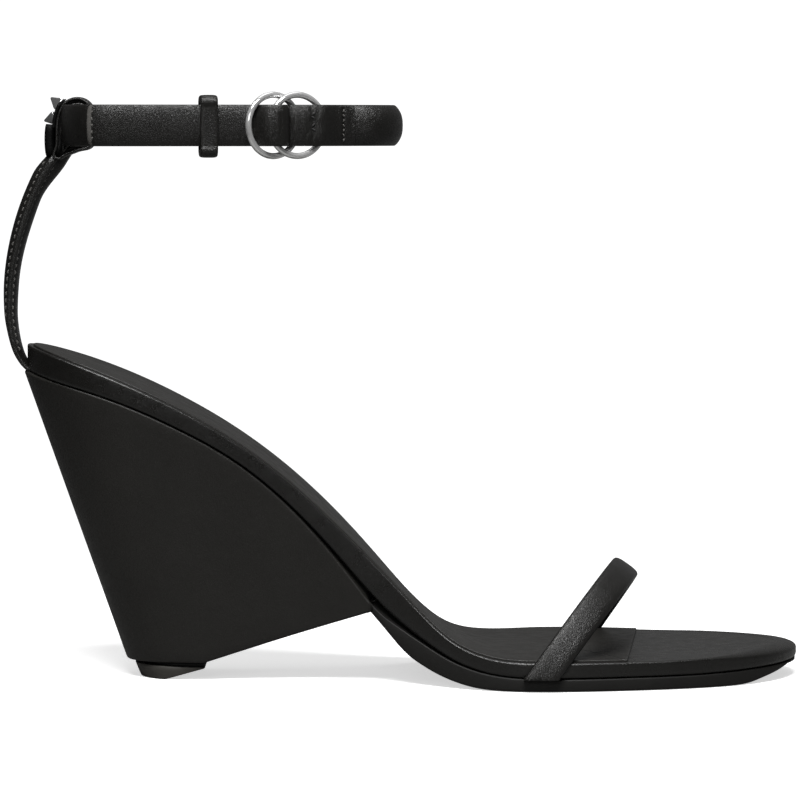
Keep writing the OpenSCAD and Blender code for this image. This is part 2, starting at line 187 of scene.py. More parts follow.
def sweep(path, side, section, closed=False, scale=None):
    """Rings of a section drawn along a path.

    side is the section's first axis at each point. Its second is square to side and to the path.
    """
    path, side = np.asarray(path, float), np.asarray(side, float)
    if closed:
        d = np.roll(path, -1, 0) - np.roll(path, 1, 0)
    else:
        d = np.gradient(path, axis=0)
    d = unit(d)
    side = unit(side - (side * d).sum(1)[:, None] * d)
    up = np.cross(d, side)
    rings = []
    for i in range(len(path)):
        s = section[i] if isinstance(section, list) else section
        k = 1 if scale is None else scale[i]
        rings.append(path[i] + k * (s[:, :1] * side[i] + s[:, 1:2] * up[i]))
    return rings


def rounded(w, t, power=3.2, crown=0.0, n=40):
    """A strap's section, w wide and t thick, with rounded edges. crown lifts the middle of its top face."""
    a = turns(n)
    c, s = np.cos(a), np.sin(a)
    x = w / 2 * np.sign(c) * np.abs(c) ** (2 / power)
    y = t / 2 * np.sign(s) * np.abs(s) ** (2 / power)
    y = np.where(y > 0, y + crown * (1 - (2 * x / w) ** 2) * (2 * y / t), y)
    return np.stack([x, y], 1)


def bevelled(obj, width, segments, angle):
    m = obj.modifiers.new("edge", "BEVEL")
    m.width, m.segments = width * MM, segments
    m.limit_method, m.angle_limit = "ANGLE", math.radians(angle)
    m.harden_normals = False
    return obj


# ------------------------------------------------------------------ materials
PORE = 2600  # leather pores per metre


def nodes_of(name):
    """A new material, its nodes, its shader and its object coordinates."""
    mat = bpy.data.materials.new(name)
    mat.use_nodes = True
    tree = mat.node_tree
    coords = tree.nodes.new("ShaderNodeTexCoord").outputs["Object"]
    return mat, tree, tree.nodes["Principled BSDF"], coords


def noise(tree, coords, scale, detail=3, rough=0.5):
    n = tree.nodes.new("ShaderNodeTexNoise")
    n.inputs["Scale"].default_value, n.inputs["Detail"].default_value = scale, detail
    n.inputs["Roughness"].default_value = rough
    tree.links.new(coords, n.inputs["Vector"])
    return n.outputs["Fac"]


def spread(tree, value, lo, hi, low=0.3, high=0.7):
    n = tree.nodes.new("ShaderNodeMapRange")
    for k, v in zip(("From Min", "From Max", "To Min", "To Max"), (low, high, lo, hi)):
        n.inputs[k].default_value = v
    tree.links.new(value, n.inputs["Value"])
    return n.outputs["Result"]


def mixed(tree, factor, a, b):
    n = tree.nodes.new("ShaderNodeMix")
    n.data_type = "RGBA"
    n.inputs["A"].default_value, n.inputs["B"].default_value = (*a, 1), (*b, 1)
    tree.links.new(factor, n.inputs["Factor"])
    return n.outputs["Result"]


def bump(tree, height_value, strength, distance, normal=None):
    n = tree.nodes.new("ShaderNodeBump")
    n.inputs["Strength"].default_value, n.inputs["Distance"].default_value = strength, distance
    tree.links.new(height_value, n.inputs["Height"])
    if normal is not None:
        tree.links.new(normal, n.inputs["Normal"])
    return n.outputs["Normal"]


def leather(name, dark, light, rough, grain=0.35, crease=0.25, gloss=0.25):
    """Fine-grained leather: cells for the grain, finer pores in them, and slow changes of colour and shine."""
    mat, tree, bsdf, coords = nodes_of(name)
    cells = tree.nodes.new("ShaderNodeTexVoronoi")
    cells.feature = "DISTANCE_TO_EDGE"
    cells.inputs["Scale"].default_value = PORE
    cells.inputs["Randomness"].default_value = 0.9
    warp = tree.nodes.new("ShaderNodeMix")
    warp.data_type = "RGBA"
    warp.blend_type = "ADD"
    warp.inputs["Factor"].default_value = 0.0006
    tree.links.new(coords, warp.inputs["A"])
    tint = tree.nodes.new("ShaderNodeTexNoise")
    tint.inputs["Scale"].default_value = PORE * 0.4
    tree.links.new(coords, tint.inputs["Vector"])
    tree.links.new(tint.outputs["Color"], warp.inputs["B"])
    tree.links.new(warp.outputs["Result"], cells.inputs["Vector"])
    grain_h = spread(tree, cells.outputs["Distance"], 0, 1, 0.0, 0.22)
    fine = noise(tree, coords, PORE * 2.3, 2)
    slow = noise(tree, coords, 55, 3)
    slower = noise(tree, coords, 260, 4, 0.6)
    colour = mixed(tree, spread(tree, slow, 0, 1), dark, light)
    tree.links.new(colour, bsdf.inputs["Base Color"])
    tree.links.new(spread(tree, slower, rough[0], rough[1]), bsdf.inputs["Roughness"])
    n1 = bump(tree, slower, crease, 0.0005)
    n2 = bump(tree, grain_h, grain, 0.00008, n1)
    n3 = bump(tree, fine, grain * 0.5, 0.00004, n2)
    tree.links.new(n3, bsdf.inputs["Normal"])
    bsdf.inputs["Specular IOR Level"].default_value = gloss
    return mat


def rubber(name, dark, light):
    mat, tree, bsdf, coords = nodes_of(name)
    slow = noise(tree, coords, 80, 3)
    fine = noise(tree, coords, 900, 3)
    tree.links.new(mixed(tree, spread(tree, slow, 0, 1), dark, light), bsdf.inputs["Base Color"])
    tree.links.new(spread(tree, fine, 0.5, 0.65), bsdf.inputs["Roughness"])
    tree.links.new(bump(tree, fine, 0.25, 0.0001), bsdf.inputs["Normal"])
    bsdf.inputs["Specular IOR Level"].default_value = 0.3
    return mat


def metal(name, colour, rough, metallic):
    mat, tree, bsdf, coords = nodes_of(name)
    fine = noise(tree, coords, 700, 4)
    slow = noise(tree, coords, 120, 2)
    tone = tuple(c * 0.93 for c in colour)
    tree.links.new(mixed(tree, spread(tree, slow, 0, 1), tone, colour), bsdf.inputs["Base Color"])
    tree.links.new(spread(tree, fine, rough[0], rough[1]), bsdf.inputs["Roughness"])
    tree.links.new(bump(tree, fine, 0.04, 0.00005), bsdf.inputs["Normal"])
    bsdf.inputs["Metallic"].default_value = metallic
    return mat


def thread_look(name, colour):
    mat, tree, bsdf, coords = nodes_of(name)
    twist = noise(tree, coords, 5200, 2)
    tone = tuple(c * 0.55 for c in colour)
    tree.links.new(mixed(tree, spread(tree, twist, 0, 1), tone, colour), bsdf.inputs["Base Color"])
    tree.links.new(bump(tree, twist, 0.5, 0.00008), bsdf.inputs["Normal"])
    bsdf.inputs["Roughness"].default_value = 0.5
    bsdf.inputs["Sheen Weight"].default_value = 0.3
    return mat


BLACK = leather("strap_leather", (0.0066, 0.0063, 0.0057), (0.009, 0.0086, 0.0078),
                rough=(0.28, 0.4), grain=0.46, crease=0.2, gloss=0.42)
WEDGE = leather("wedge_leather", (0.0126, 0.0119, 0.0107), (0.0152, 0.0144, 0.013),
                rough=(0.4, 0.5), grain=0.28, gloss=0.3)
RIM = leather("rim_leather", (0.0062, 0.0059, 0.0054), (0.0084, 0.008, 0.0073),
              rough=(0.24, 0.36), grain=0.24, gloss=0.45)
SOCK = leather("sock_leather", (0.0125, 0.0119, 0.0108), (0.0165, 0.0157, 0.0143),
               rough=(0.38, 0.52), grain=0.2, gloss=0.35)
# the tab's own near-black, also put in the heel loop's groove as painted shade
TAB_AND_SHADE = leather("tab_leather", (0.0015, 0.0015, 0.0015), (0.0025, 0.0025, 0.0025), rough=(0.5, 0.6), gloss=0.1)
# a lighter tone for the tail's end: partly the raw cut edge, partly a painted highlight on the rounded end
# where it bends away
EDGE_AND_HIGHLIGHT = leather("cut_edge_and_painted_highlight", (0.07, 0.0675, 0.0635), (0.105, 0.101, 0.095), rough=(0.45, 0.6), grain=0.3)
SOLE = rubber("outsole_rubber", (0.0062, 0.0059, 0.0054), (0.0086, 0.0082, 0.0075))
LIFT = rubber("lift_rubber", (0.036, 0.034, 0.0302), (0.047, 0.0443, 0.0396))
# near-black: the plate paints the shade in the gap between the lift and the wedge's foot
PLATE_SHADE = rubber("plate_plastic", (0.004, 0.004, 0.004), (0.006, 0.006, 0.006))
# partly diffuse, so that the bright metal stays bright in the dim room
CHROME = metal("bright_metal", (0.93, 0.93, 0.93), (0.05, 0.14), 0.72)
STUD = metal("stud_metal", (0.88, 0.88, 0.88), (0.06, 0.16), 0.93)
STEEL = metal("steel", (0.56, 0.57, 0.58), (0.25, 0.4), 1.0)
THREAD = thread_look("thread", (0.085, 0.081, 0.073))
DARK_THREAD = thread_look("dark_thread", (0.004, 0.004, 0.004))


# ------------------------------------------------------------------ the sole unit
# PLAN is the outline in X and Y. The others are heights over X: the footbed's top, its lower seam, and the
# outsole's ground side. TIP is where the wedge's underside meets the seam.
PLAN = [[-107.8, 0], [-105.4, -9.5], [-98, -17.5], [-82, -22.5], [-60, -22.5], [-36, -20.5], [-14, -20.5],
        [2, -24], [16, -31], [30, -36.8], [46, -38], [64, -35.5], [84, -30.3], [101, -21.2], [112.2, -8.6],
        [115.6, 3.5], [112.3, 15.5], [100, 27.5], [80, 35.5], [60, 39.8], [44, 40.6], [28, 37], [12, 29.5],
        [-4, 23.5], [-24, 20.5], [-50, 20.5], [-78, 22], [-97, 17.8], [-105.4, 9.5]]
TOP = [[-125, 102.4], [-112, 98], [-96, 92.8], [-80, 86.8], [-64, 79.3], [-48, 70], [-32, 58], [-16, 43.2],
       [-4, 31.2], [6, 20.9], [16, 12.7], [26, 9.2], [40, 8.35], [64, 8.3], [84, 8.5],
       [96, 8.95], [104, 9.4], [125, 10.6]]
SEAM = [[-125, 93.6], [-112, 90], [-96, 85.8], [-80, 80.8], [-64, 73.8], [-48, 64.8], [-32, 51.8],
        [-16, 34.5], [-4, 21.4], [6, 13.4], [16, 7.6], [26, 4.85], [40, 3.95], [64, 4], [88, 4.2], [104, 4.7],
        [125, 5.6]]
TIP = (-7.7, 20.9)
TREAD = [[-9.6, 22.0], [-8.5, 20.7], [-4.7, 16.4], [-0.9, 11.9], [2.9, 8.2], [6.6, 5.8], [10.4, 3.8],
         [14.2, 2.3], [21.7, 0.5], [29, 0.03], [40, 0], [64, 0], [88, 0], [96, 0.05], [100, 0.4], [104, 1.4],
         [108.7, 2.7], [113.4, 4.4], [125, 8]]
# how far the wedge's and outsole's top edge lies below the rim, as a dark groove that is widest at the waist
DROP = [[-125, 0.35], [-60, 0.4], [-40, 0.55], [-28, 0.8], [-20, 1.15], [-12, 1.9], [-8, 2.5], [-4.7, 2.3],
        [-0.9, 1.6], [2.9, 1.1], [6.6, 0.75], [10.4, 0.55], [14.2, 0.42], [18, 0.34], [21.7, 0.3], [29, 0.26],
        [40, 0.25], [125, 0.25]]
SOCK_END, SOCK_SLANT = 67.5, 0.097  # where the sock lining's front edge lies, and how far it slants over Y
SOLE_START = -9.4  # the outsole's rear edge
ARCH_LOW, ARCH_X, ARCH_LONG = 3.3, 5, 17  # the far side of the arch: how much lower, where, and how long
top_z, seam_z, tread_z, drop = height(TOP), height(SEAM), height(TREAD), height(DROP)
plan = even(loop_of(PLAN, 1500), 360, True)


def inset(p, d):
    """An outline moved inwards by d, a number or one value per point."""
    v = np.roll(p, -1, 0) - np.roll(p, 1, 0)
    n = np.stack([-v[:, 1], v[:, 0]], 1)
    return p + d * n / np.linalg.norm(n, axis=1)[:, None]


def straight(lo, hi):
    """The same as spine, for outlines whose middle line is Y = 0."""
    return lambda p: np.column_stack([np.clip(p[:, 0], lo, hi), np.zeros(len(p))])


def spine(lo, hi):
    """For each point of an outline, the point of the middle line that its rings shrink towards."""
    low, high = plan[plan[:, 1] < 0], plan[plan[:, 1] >= 0]
    low, high = low[np.argsort(low[:, 0])], high[np.argsort(high[:, 0])]

    def of(p):
        x = np.clip(p[:, 0], lo, hi)
        y = (np.interp(x, low[:, 0], low[:, 1]) + np.interp(x, high[:, 0], high[:, 1])) / 2
        return np.stack([x, y], 1)

    return of


def lid(p, z_of, middle, steps=14):
    """Rings from an outline in to the middle line, lying on a height."""
    c = middle(p)
    rings = []
    for f in np.linspace(1, 0, steps + 1)[1:]:
        q = c + (p - c) * f
        rings.append(np.column_stack([q, z_of(q[:, 0])]))
    return rings


def wall(p, levels, z_of):
    """Rings at insets d and heights dz from a height curve. Each d or dz is a number or one value per point."""
    rings = []
    for d, dz in levels:
        q = inset(p, np.reshape(d, (-1, 1)))
        rings.append(np.column_stack([q, z_of(q[:, 0]) + dz]))
    return rings


def footbed():
    """The wrapped footbed: a thin crest, a side that curves in at the seam, and a top out to the toes."""
    waist = ramp(plan[:, 0], -42, -6) * (1 - ramp(plan[:, 0], 4, 30))
    r_in, r_up = 0.9 + 0.9 * waist, 1.3 + 1.6 * waist
    low = wall(plan, [(3.4, 0.02), (r_in + 0.5, 0.0)], seam_z)
    for a in np.radians(np.linspace(0, 90, 9)):
        low += wall(plan, [(r_in * (1 - math.sin(a)), r_up * (1 - math.cos(a)))], seam_z)
    high = []
    toe = ramp(plan[:, 0], 86, 113)
    c_in, c_up = 0.75 + 5.5 * toe, 0.75 + 1.4 * toe
    for a in np.radians(np.linspace(0, 90, 9)):
        high += wall(plan, [(c_in * (1 - math.cos(a)), c_up * (math.sin(a) - 1))], top_z)
    high += wall(plan, [(c_in + 0.5, -0.03), (c_in + 1.1, -0.12)], top_z)
    mid = [low[-1] + (high[0] - low[-1]) * f for f in (0.33, 0.66)]
    top = lid(inset(plan, (c_in + 1.1)[:, None]), lambda x: top_z(x) - 0.12, spine(-88, 92))
    under = lid(inset(plan, 3.4), lambda x: seam_z(x) + 0.02, spine(-88, 92), 6)
    return banked(shell("footbed_rim", low + mid + high + top, under, RIM))


def banked(obj):
    """The far side of the arch lies a little lower than the near side."""
    for v in obj.data.vertices:
        x, y, z = (c * 1000 for c in v.co)
        near = math.exp(-(((x - ARCH_X) / ARCH_LONG) ** 2))
        v.co.z -= ARCH_LOW * near * float(ramp(y, -22, 24)) * min(1, max(0, z) / 9) * MM
    return obj


def cut_outline(p, keep, edge_points):
    """The part of a closed outline where keep() is positive, closed along the cut."""
    k = keep(p)
    n = len(p)
    start = next(i for i in range(n) if k[i - 1] <= 0 < k[i])
    run = [i % n for i in range(start, start + n)]
    kept = [i for i in run if k[i] > 0]
    a, b = kept[0], kept[-1]
    first = p[a - 1] + (p[a] - p[a - 1]) * (0 - k[a - 1]) / (k[a] - k[a - 1])
    c = (b + 1) % n
    last = p[b] + (p[c] - p[b]) * (k[b] - 0) / (k[b] - k[c])
    line = [last + (first - last) * t for t in np.linspace(0, 1, edge_points + 2)[1:-1]]
    return np.array([first] + [p[i] for i in kept] + [last] + line)


def sock():
    p = cut_outline(inset(plan, 1.8), lambda q: SOCK_END + SOCK_SLANT * q[:, 1] - q[:, 0], 60)
    levels = [(0.0, -0.15), (0.0, 0.3), (0.04, 0.42), (0.13, 0.52), (0.3, 0.58), (0.7, 0.62)]
    rings = wall(p, levels, top_z) + lid(inset(p, 0.7), lambda x: top_z(x) + 0.62, spine(-86, 44), 16)
    v, f = tube(rings, caps=False)
    return banked(make("sock_lining", v, f, SOCK))


def outsole():
    p = cut_outline(inset(plan, 0.35), lambda q: q[:, 0] - SOLE_START, 30)
    # its first few millimetres lie inside the wedge's front edge
    p[:, 1] *= 1 - 0.05 * (1 - ramp(p[:, 0], SOLE_START, -4.5))
    low = drop(p[:, 0])
    edge = [(3.2, 0.1), (1.6, -low * 0.75), (0.75, -low)]
    edge += [(0.28, -low - 0.06), (0.06, -low - 0.25), (0.0, -low - 0.5)]
    top = wall(p, edge, seam_z)
    bottom = wall(p, [(0.0, 0.9), (0.08, 0.5), (0.3, 0.2), (0.7, 0.04), (1.4, 0.0)], tread_z)
    rings = top + bottom + lid(inset(p, 1.4), tread_z, spine(4, 92), 10)
    over = lid(inset(p, 3.2), lambda x: seam_z(x) + 0.1, spine(4, 92), 6)
    return banked(shell("outsole_sheet", rings, over, SOLE))


# ------------------------------------------------------------------ wedge and lift
APEX = np.array([-43.6, 0, -97.0])  # the cone's point
BASE_Z, FOOT_X = 4.95, -56.4  # the flat foot's height and its front edge
LIFT_BACK, LIFT_FRONT = -77.0, -56.3


def under_z(x):
    """The wedge's underside: flat at the foot, and from there straight up to the tip."""
    return np.where(x < FOOT_X, BASE_Z, BASE_Z + (x - FOOT_X) * (TIP[1] - BASE_Z) / (TIP[0] - FOOT_X))


def wedge():
    """A leaning cone over the footbed's outline, cut by the flat foot and the sloping underside."""
    wide = inset(plan, 0.45)
    wide[:, 0] -= 1.5 * ramp(-wide[:, 0], 96, 108)
    p = cut_outline(wide, lambda q: TIP[0] - q[:, 0], 24)
    edge = np.column_stack([p, seam_z(p[:, 0]) - drop(p[:, 0])])
    # along each straight line to the cone's point, the place where it meets the underside
    t = np.linspace(0, 1, 4001)[None, :]
    line = edge[:, None, :] + (APEX - edge)[:, None, :] * t[..., None] * 0.92
    gap = line[..., 2] - under_z(line[..., 0])
    hit = np.argmax(gap <= 0, axis=1)
    hit[gap[:, 0] <= 0] = 0
    foot = line[np.arange(len(p)), hit]
    length = np.linalg.norm(foot - edge, axis=1)[:, None]
    way = (foot - edge) / np.maximum(length, 1e-6)
    way[length[:, 0] < 0.5] = (0, 0, -1)
    inner = np.column_stack([inset(p, 1.0) - p, np.zeros(len(p))])
    high, low = np.minimum(0.8, length * 0.25), np.minimum(0.6, length * 0.25)
    rise = np.column_stack([np.zeros((len(p), 2)), drop(p[:, 0])])
    rings = [edge + inner * 3.4 + rise + [0, 0, 0.15], edge + inner * 2.0 + rise * 0.35]
    for a in np.radians((0, 18, 36, 54, 72, 90)):
        rings.append(edge + way * high * (1 - math.cos(a)) + inner * high * (1 - math.sin(a)))
    for f in np.linspace(0.04, 0.96, 24):
        rings.append(edge + way * (high + (length - high - low) * f))
    v = np.roll(foot[:, :2], -1, 0) - np.roll(foot[:, :2], 1, 0)
    n = np.stack([-v[:, 1], v[:, 0]], 1)
    n /= np.maximum(np.linalg.norm(n, axis=1), 1e-9)[:, None]
    for a in np.radians((90, 60, 30, 0)):
        w = foot[:, :2] + n * low * (1 - math.sin(a)) - (way * low * (1 - math.cos(a)))[:, :2]
        rings.append(np.column_stack([w, under_z(w[:, 0]) + (low * (1 - math.cos(a)))[:, 0]]))
    rings += lid(rings[-1][:, :2], under_z, straight(-66, -12), 8)
    top = lid(inset(p, 3.4), lambda x: seam_z(x) + 0.15, spine(-88, -14), 5)
    return banked(shell("wedge_cover_leather", rings, top, WEDGE))


def d_outline(x0, x1, r, n=26):
    """A round-ended outline across the lift, anticlockwise seen from above."""
    side = [(x, -r) for x in np.linspace(x0 + r, x1 - 0.5, 16)]
    front = [(x1, -r + 0.5), (x1, -r / 3), (x1, r / 3), (x1, r - 0.5)]
    round_end = [tuple(q) for q in arc((x0 + r, 0), r, 90, 270, n)]
    pts = [*side, *front, *[(x, -y) for x, y in reversed(side)], *round_end[1:-1]]
    return even(pts, 150, True)


def lift_top(x):
    return np.interp(x, [LIFT_BACK, LIFT_FRONT], [4.15, 3.5])


def lift_base(x):
    return np.interp(x, [-80, -67.8, LIFT_FRONT], [0, 0, 3.2])


def lift():
    """The top piece: flat under the back, cut away at a slope in front, with a slanting side."""
    p = d_outline(LIFT_BACK, LIFT_FRONT, 12.0)
    rings = []
    for d, dz in [(1.6, 0), (0.4, 0), (0.12, -0.07), (0.0, -0.22)]:
        q = inset(p, d)
        rings.append(np.column_stack([q, lift_top(q[:, 0]) + dz]))
    lean = 1.3 * ramp(-p[:, 0], 62, 77)
    for f, d, dz in [(0.35, 0.1, 0), (0.7, 0.2, 0), (0.97, 0.3, 0.1), (1.0, 0.36, 0.03), (1.02, 0.5, 0)]:
        q = inset(p, d)
        q[:, 0] += lean * f
        high = lift_top(q[:, 0]) - 0.25
        z = high + (lift_base(q[:, 0]) - high) * min(f, 1) + dz * (q[:, 0] < -58)
        rings.append(np.column_stack([q, z]))
    rings += lid(rings[-1][:, :2], lift_base, straight(-66, -60), 8)
    over = lid(rings[0][:, :2], lift_top, straight(-66, -60), 4)
    return shell("lift_piece", rings, over, LIFT)


def plate():
    """The thin plate between the lift and the wedge's foot, near-black as painted shade of the gap there."""
    p = d_outline(-74.7, -56.6, 11.2)
    rings = []
    for d, k in [(1.0, 0), (0.0, 0), (0.0, 1), (1.0, 1)]:
        q = inset(p, d)
        low = lift_top(q[:, 0]) + 0.01
        rings.append(np.column_stack([q, low + (BASE_Z + 0.03 - low) * k]))
    return make("lift_plate_shade_sheet", *tube(rings), PLATE_SHADE)


# ------------------------------------------------------------------ toe strap
# the middle of its arch, how far it turns about Z and leans back, and its radius, thickness, width and sinking
TOE_AT, TOE_TURN, TOE_LEAN = (46.5, 0.8, 4.4), -9, 35
TOE_R, TOE_T, TOE_W, TOE_DROP = 42.2, 3.0, 8.4, 8.2
TOE_CUT = 0.0037  # m, where its ends are cut flat inside the sole


def toe_strap():
    """The padded strap over the toes, an arch whose ends go down into the sole."""
    m = Matrix.Translation(TOE_AT) @ Matrix.Rotation(math.radians(TOE_TURN), 4, "Z")
    m = m @ Matrix.Rotation(math.radians(TOE_LEAN), 4, "Y") @ Matrix.Translation((0, 0, -TOE_DROP))
    m = np.array(m)
    a = np.radians(np.linspace(1, 179, 160))
    r = TOE_R - TOE_T / 2
    path = np.column_stack([np.zeros(len(a)), -r * np.cos(a), r * np.sin(a)])
    path = path @ m[:3, :3].T + m[:3, 3]
    side = np.tile(m[:3, 0], (len(a), 1))
    obj = make("toe_strap_padded", *tube(sweep(path, side, rounded(TOE_W, TOE_T, 3.0, 0.0, 48))), BLACK)
    bm = bmesh.new()
    bm.from_mesh(obj.data)
    everything = bm.verts[:] + bm.edges[:] + bm.faces[:]
    cut = bmesh.ops.bisect_plane(bm, geom=everything, plane_co=(0, 0, TOE_CUT), plane_no=(0, 0, 1),
                                 clear_inner=True)
    edges = [e for e in cut["geom_cut"] if isinstance(e, bmesh.types.BMEdge)]
    bmesh.ops.holes_fill(bm, edges=edges)
    bmesh.ops.recalc_face_normals(bm, faces=bm.faces)
    bm.to_mesh(obj.data)
    bm.free()
    return obj


# ------------------------------------------------------------------ heel strap
HEEL_FOOT = [[-112.6, 0, 108], [-112.55, 0, 105], [-112.1, 0, 101], [-111.3, 0, 97], [-110.2, 0, 93.6],
             [-108.7, 0, 91], [-106.9, 0, 89.2], [-104.6, 0, 88.1]]
HEEL_BOW, HEEL_BOW_R = (-30.4, 108.0), 82.2  # the middle in X and Z, and the radius, of the strap's bow
# its rows of stitches: how far out they lie, their step, and a stitch's length
SEW_Y, SEW_PITCH, SEW_LONG = 4.05, 2.05, 1.35


def heel_path(count):
    """The strap's middle line, from its top down into the groove under the footbed, at even distances."""
    bow = upright(arc(HEEL_BOW, HEEL_BOW_R, 145.4, 179, 68))
    return even(np.vstack([bow, spline(HEEL_FOOT)(np.linspace(0, 1, 60))]), count)


def edge_shift(s):
    """The sewn edges lie a little to the front at the top of the strap, and near its middle at the foot."""
    return 0.6 * ramp(s, 0.25, 0.85) - 0.45


def top_flare(s):
    return 0.9 * ramp(-s, -0.25, -0.06)


def foot_pinch(s):
    return 1 - 0.3 * ramp(s, 0.86, 1.0)


def heel_section(s):
    """Half width against height: a puffed middle, a sewn valley, and a square painted edge.

    s goes from 0 at the strap's top to 1 at its foot. A height below 0 is on the front face.
    """
    puff = 1.2 - 0.75 * ramp(s, 0.55, 0.97)
    half = [(0, 0.95 + puff), (1.2, 0.93 + puff), (2.3, 0.82 + puff * 0.95), (3.1, 0.8 + puff * 0.66),
            (3.6, 0.82 + puff * 0.22), (3.9, 0.84), (4.3, 0.85), (4.7, 0.8), (5.1, 0.7), (5.38, 0.56),
            (5.5, 0.34)]
    flare = 1 + 0.35 * ramp(-s, -0.6, -0.3) + top_flare(s)
    narrow = 1 - 0.16 * float(ramp(-s, -0.085, -0.055))
    thin = 1 - 0.62 * float(ramp(-s, -0.16, -0.04))

    def at(y, h):
        move = edge_shift(s) * float(ramp(abs(y), 3.0, 4.4) + 0.5 * ramp(abs(y), 4.3, 5.0))
        return y * narrow, (h * (flare if h < 0 else thin) + move) * foot_pinch(s)

    right = [at(y, h) for y, h in half] + [at(y, -h) for y, h in reversed(half)]
    left = [(-y, h) for y, h in reversed(right) if y > 0.01]
    return np.array(right + left)


def heel_strap():
    """The padded strap, whose sections are turned over because a sweep's second axis points to the front."""
    p = heel_path(120)
    sections = [heel_section(t) * (1, -1) for t in np.linspace(0, 1, len(p))]
    return make("heel_strap_padded", *tube(sweep(p, across(len(p)), sections)), BLACK)


def stitch(a, b, out, r, lift_by):
    """One visible stitch of thread from a to b, bowed out of the leather."""
    a, b, out = (np.asarray(q, float) for q in (a, b, out))
    out = out / np.linalg.norm(out)
    t = np.linspace(0, 1, 9)
    bow = lift_by * np.sin(math.pi * t) - 0.12 * np.abs(2 * t - 1) ** 3
    path = a + (b - a) * t[:, None] + out * bow[:, None]
    radius = r * np.clip(np.sin(math.pi * np.clip(t, 0.04, 0.96)) * 1.9, 0.25, 1.0)
    k = turns(8)
    circle = np.column_stack([np.cos(k), np.sin(k)])
    return tube(sweep(path, np.tile(out, (len(t), 1)), circle, scale=radius))


def heel_stitches():
    """Two rows of thread down each face of the strap."""
    count = 900
    p = heel_path(count)
    n = np.cross(unit(np.gradient(p, axis=0)), (0, 1, 0))
    length = np.linalg.norm(np.diff(p, axis=0), axis=1).sum()
    parts = []
    for side in (-1, 1):
        for face in (-1, 1):
            # the back's rows end above the foot, where that face turns under the footbed
            for at in np.arange(7.0, length - (20 if face < 0 else 9), SEW_PITCH):
                ends = []
                for q in (at, at + SEW_LONG):
                    s = q / length
                    i = int(s * (count - 1))
                    flare = 1.35 + top_flare(s) if face > 0 and s < 0.25 else 1
                    h = (0.88 * flare * -face + edge_shift(s)) * foot_pinch(s)
                    ends.append(p[i] - n[i] * h + (0, side * SEW_Y, 0))
                parts.append(stitch(ends[0], ends[1], n[i] * face, 0.23, 0.16))
    return joined("heel_strap_thread", parts, THREAD)


# ------------------------------------------------------------------ the loop at the top of the heel strap
# the middle lines of its outer and inner ply, in X and Z
LOOP_OUT = [[-99.4, 150.6], [-98.9, 152.8], [-98.6, 155.5], [-98.55, 158.3], [-98.2, 161.4], [-97.4, 164],
            [-96.1, 165.9], [-94.5, 166.8], [-92.6, 167.1], [-91.3, 166.8], [-90, 166], [-88.7, 164.2],
            [-87.9, 161.5], [-87.7, 158], [-88.3, 154.9], [-89.6, 153.1], [-91.2, 152.6], [-92.7, 152.3],
            [-94.6, 151.6], [-96.5, 150.8], [-98.2, 149.9]]
LOOP_IN = [[-96.7, 151.9], [-96.75, 153.3], [-96.9, 155.1], [-97.45, 157.3], [-97.3, 159.8], [-96.8, 162.0],
           [-95.8, 163.9], [-94.5, 165.0], [-92.6, 165.55], [-91.3, 165.45], [-90.2, 164.7], [-89.3, 163.3],
           [-88.8, 161], [-88.7, 158], [-89.2, 155.7], [-90.4, 154.4], [-92.4, 154.05], [-94, 153.85],
           [-95.6, 153.3]]
LOOP_MIDDLE = np.array([-93.2, 159.4])
SHADE_FILL_Y = 4.9  # half the width of the near-black filler between the plies, which paints the shade in the groove there


def ply(points, w, t):
    """A closed band of leather, w wide and t thick."""
    path = upright(even(loop_of(points, 600), 150, True))
    return tube(sweep(path, across(len(path)), rounded(w, t, 4.5, 0, 32), closed=True), close_path=True)


def heel_loop():
    """Two plies of strap round the ankle strap; the groove between their edge-painted sides is filled with
    near-black, which paints the shade in it.
    """
    angle = turns(120)

    def round_at(points):
        q = loop_of(points, 900) - LOOP_MIDDLE
        a = np.arctan2(q[:, 1], q[:, 0]) % (2 * math.pi)
        order = np.argsort(a)
        r = np.interp(angle, a[order], np.hypot(q[:, 0], q[:, 1])[order], period=2 * math.pi)
        return LOOP_MIDDLE + r[:, None] * np.column_stack([np.cos(angle), np.sin(angle)])

    rings = []
    for o, i in zip(round_at(LOOP_OUT), round_at(LOOP_IN)):
        corners = ((o, SHADE_FILL_Y), (o, -SHADE_FILL_Y), (i, -SHADE_FILL_Y), (i, SHADE_FILL_Y))
        rings.append(np.array([(q[0], y, q[1]) for q, y in corners]))
    # the near-black filler paints the shade in the groove between the plies
    shade_filler = make("heel_loop_shade_core", *tube(rings, close_path=True), TAB_AND_SHADE)
    return joined("heel_loop_plies", [ply(LOOP_OUT, 11.0, 1.0), ply(LOOP_IN, 10.8, 0.85)], BLACK), shade_filler


def heel_tab():
    """A folded tab at the back of the loop, and the backing strip that the studs sit on."""
    count = 24
    z = np.linspace(150.8, 159.7, count)
    path = upright(np.column_stack([-100.6 - 0.25 * np.sin(np.linspace(0, math.pi, count)), z]))
    shrink = 1 - 0.12 * np.abs(np.linspace(-1, 1, count)) ** 6
    thick = tube(sweep(path, across(count), rounded(10.6, 3.1, 3.4, 0, 36), scale=shrink))
    # the strip lies 1 mm outside the loop's upper back part, and thins out at its end
    line = loop_of(LOOP_OUT, 600)
    line = line[(line[:, 1] > 158.5) & (line[:, 0] < -95.8)]
    d = unit(np.gradient(line, axis=0))
    count = 30
    path = even(upright(line + np.column_stack([-d[:, 1], d[:, 0]])), count)
    shrink = 1 - 0.75 * ramp(np.linspace(0, 1, count), 0.75, 1.0)
    strip = tube(sweep(path, across(count), rounded(9.6, 1.4, 3.4, 0, 30), scale=shrink))
    return joined("heel_tab_piece", [thick, strip], TAB_AND_SHADE)


